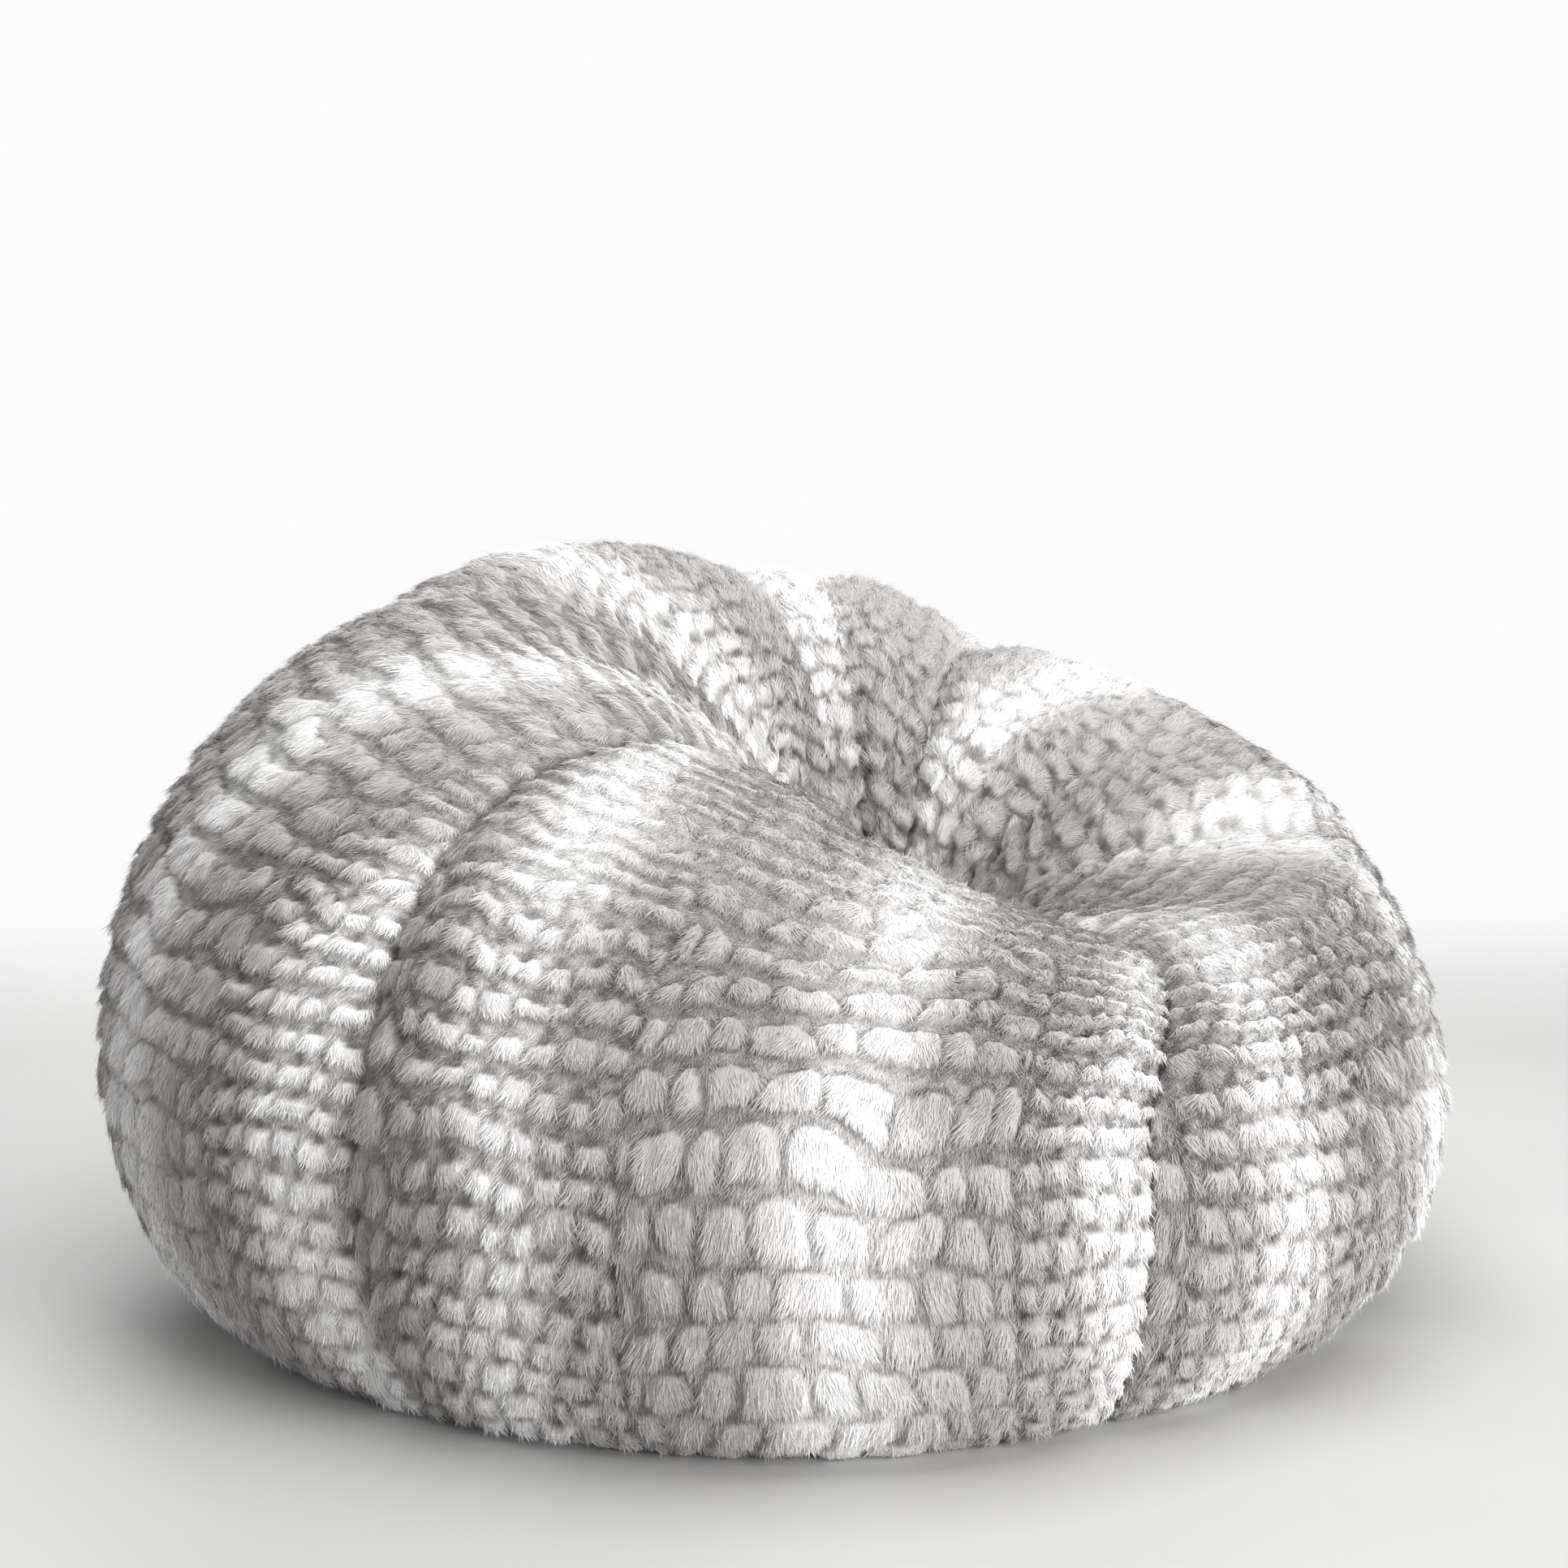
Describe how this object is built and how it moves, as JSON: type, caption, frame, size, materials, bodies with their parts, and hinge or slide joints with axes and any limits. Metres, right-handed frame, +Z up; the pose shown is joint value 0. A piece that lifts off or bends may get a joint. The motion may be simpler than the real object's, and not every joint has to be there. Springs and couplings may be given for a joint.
{
  "type": "bean bag chair",
  "caption": "Round bean bag chair in tufted striped faux fur, with sewn gores, a high back, a seat hollow, a zipped base and a zipped liner full of beads.",
  "frame": {"origin": "on the floor, in the middle of the bag's plan", "axes": "+Z up, +X to the sitter's left as the low front of the seat faces -Y, +Y to the rear"},
  "size_m": [1.0922, 1.0599, 0.6025],
  "materials": {
    "tufted_fur": "long faux-fur pile in tufted rows, white and warm grey stripes up each gore",
    "base_cloth": "plain twill",
    "liner_cotton": "plain weave",
    "zip_tape": "herringbone tape",
    "zip_coil": "nylon coil",
    "zip_slider": "satin lacquer",
    "zip_stops": "moulded",
    "bead_fill": "loose expanded beads"
  },
  "bodies": {
    "bag": {"fur_panel_front": "tufted_fur", "fur_panel_front_right": "tufted_fur", "fur_panel_rear_right": "tufted_fur", "fur_panel_rear": "tufted_fur", "fur_panel_rear_left": "tufted_fur", "fur_panel_front_left": "tufted_fur", "crown_cap": "tufted_fur", "base_panel_front": "base_cloth", "base_panel_rear": "base_cloth", "liner_panel_front": "liner_cotton", "liner_panel_front_right": "liner_cotton", "liner_panel_rear_right": "liner_cotton", "liner_panel_rear": "liner_cotton", "liner_panel_rear_left": "liner_cotton", "liner_panel_front_left": "liner_cotton", "liner_crown": "liner_cotton", "liner_base_front": "liner_cotton", "liner_base_rear": "liner_cotton", "zip_tape_front": "zip_tape", "zip_tape_rear": "zip_tape", "liner_zip_tape_front": "zip_tape", "liner_zip_tape_rear": "zip_tape", "zip_coil_front": "zip_coil", "zip_coil_rear": "zip_coil", "liner_zip_coil_front": "zip_coil", "liner_zip_coil_rear": "zip_coil", "zip_end_stop": "zip_stops", "zip_top_stops": "zip_stops", "liner_zip_end_stop": "zip_stops", "liner_zip_top_stops": "zip_stops", "bead_fill": "bead_fill"},
    "cover_slider": {"zip_slider": "zip_slider"},
    "liner_slider": {"liner_zip_slider": "zip_slider"}
  },
  "joints": [
    {"name": "cover_zip_slide", "type": "slide", "parent": "bag", "child": "cover_slider", "axis": [1, 0, 0], "range_m": [-0.468, 0], "deforming": ["zip_coil_front", "zip_coil_rear"]},
    {"name": "liner_zip_slide", "type": "slide", "parent": "bag", "child": "liner_slider", "axis": [1, 0, 0], "range_m": [-0.468, 0], "deforming": ["liner_zip_coil_front", "liner_zip_coil_rear"]}
  ]
}
